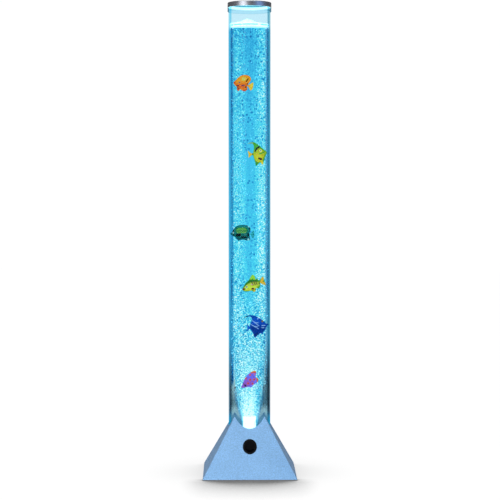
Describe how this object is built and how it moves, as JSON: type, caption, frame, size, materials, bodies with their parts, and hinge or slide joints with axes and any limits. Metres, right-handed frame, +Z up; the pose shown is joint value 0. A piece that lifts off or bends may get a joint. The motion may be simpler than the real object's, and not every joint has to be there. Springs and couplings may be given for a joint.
{
  "type": "bubble tube floor lamp",
  "caption": "Floor-standing bubble tube lamp: a clear water column lit from below, with drifting fish, a pyramid base holding an air pump and lamps, and a lift-off cap.",
  "frame": {"origin": "on the floor under the column's axis, at the centre of the feet's underside", "axes": "+Z up the column, -Y towards the front face with the window, +X to the right of someone facing it"},
  "size_m": [0.222, 0.222, 1.1229],
  "materials": {
    "base_moulding": "satin metallic paint on a moulding, light blue",
    "plate_moulding": "moulded ABS, fine texture",
    "foot_rubber": "moulded rubber",
    "screw_steel": "zinc plated",
    "bezel_plastic": "moulded black ABS",
    "lens_plastic": "dark infrared-clear acrylic",
    "board_laminate": "solder mask on glass-epoxy laminate",
    "part_plastic": "moulded packages",
    "jack_plastic": "moulded black nylon",
    "jack_nickel": "nickel plated",
    "tube_acrylic": "clear extruded acrylic",
    "floor_acrylic": "clear cast acrylic",
    "seal_rubber": "silicone rubber",
    "lamp_board": "white solder mask",
    "lamp_chip": "lit lamp chips",
    "nipple_brass": "turned brass",
    "cup_plastic": "opal polypropylene",
    "stone_grit": "bonded grit",
    "valve_plastic": "natural nylon",
    "hose_silicone": "clear silicone",
    "pump_plastic": "moulded ABS",
    "core_steel": "stacked steel sheets",
    "coil_copper": "enamelled copper wire",
    "arm_plastic": "acetal",
    "magnet_ferrite": "ferrite",
    "pump_rubber": "nitrile rubber",
    "wire_jacket": "PVC sleeving",
    "cap_chrome": "chrome plated ABS",
    "skirt_acrylic": "clear acrylic",
    "fish_orange": "painted hollow plastic",
    "fish_green": "painted hollow plastic",
    "fish_teal": "painted hollow plastic",
    "fish_lime": "painted hollow plastic",
    "fish_blue": "painted hollow plastic",
    "fish_violet": "painted hollow plastic"
  },
  "bodies": {
    "lamp": {"base_shell": "base_moulding", "base_plate": "plate_moulding", "rubber_feet": "foot_rubber", "plate_screws": "screw_steel", "window_bezel": "bezel_plastic", "window_lens": "lens_plastic", "sensor_board": "board_laminate", "ir_receiver": "part_plastic", "sensor_screws": "screw_steel", "dc_jack": "jack_plastic", "dc_jack_nut": "jack_nickel", "control_board": "board_laminate", "control_parts": "part_plastic", "board_screws": "screw_steel", "tube": "tube_acrylic", "tube_floor": "floor_acrylic", "tube_seal": "seal_rubber", "led_board": "lamp_board", "leds": "lamp_chip", "led_screws": "screw_steel", "air_nipple": "nipple_brass", "nipple_nut": "nipple_brass", "bubbler_cup": "cup_plastic", "air_stone": "stone_grit", "check_valve": "valve_plastic", "hose_lower": "hose_silicone", "hose_upper": "hose_silicone", "pump_case": "pump_plastic", "pump_cover": "pump_plastic", "pump_core": "core_steel", "pump_coil": "coil_copper", "pump_pivot": "screw_steel", "pump_diaphragm": "pump_rubber", "pump_valve_block": "valve_plastic", "pump_mounts": "pump_rubber", "power_wires": "wire_jacket", "pump_wires": "wire_jacket", "led_wires": "wire_jacket", "sensor_wires": "wire_jacket"},
    "cap": {"cap_cover": "cap_chrome", "cap_skirt": "skirt_acrylic"},
    "pump_arm": {"pump_arm": "arm_plastic", "pump_magnet": "magnet_ferrite"},
    "fish_orange": {"fish_orange": "fish_orange"},
    "fish_green": {"fish_green": "fish_green"},
    "fish_teal": {"fish_teal": "fish_teal"},
    "fish_lime": {"fish_lime": "fish_lime"},
    "fish_blue": {"fish_blue": "fish_blue"},
    "fish_violet": {"fish_violet": "fish_violet"}
  },
  "joints": [
    {"name": "cap_lift", "type": "slide", "parent": "lamp", "child": "cap", "axis": [0, 0, 1], "range_m": [0, 0.06]},
    {"name": "pump_arm_swing", "type": "hinge", "parent": "lamp", "child": "pump_arm", "pos_m": [0.001, 0.034, 0.027], "axis": [0, 1, 0], "range_deg": [-2, 2], "stiffness_Nm_per_rad": 1, "deforming": ["pump_diaphragm"]},
    {"name": "fish_orange_drift", "type": "slide", "parent": "lamp", "child": "fish_orange", "axis": [0, 0, 1], "range_m": [-0.055, 0.105]},
    {"name": "fish_green_drift", "type": "slide", "parent": "lamp", "child": "fish_green", "axis": [0, 0, 1], "range_m": [-0.06, 0.055]},
    {"name": "fish_teal_drift", "type": "slide", "parent": "lamp", "child": "fish_teal", "axis": [0, 0, 1], "range_m": [-0.035, 0.065]},
    {"name": "fish_lime_drift", "type": "slide", "parent": "lamp", "child": "fish_lime", "axis": [0, 0, 1], "range_m": [-0.02, 0.035]},
    {"name": "fish_blue_drift", "type": "slide", "parent": "lamp", "child": "fish_blue", "axis": [0, 0, 1], "range_m": [-0.036, 0.02]},
    {"name": "fish_violet_drift", "type": "slide", "parent": "lamp", "child": "fish_violet", "axis": [0, 0, 1], "range_m": [-0.065, 0.036]}
  ]
}
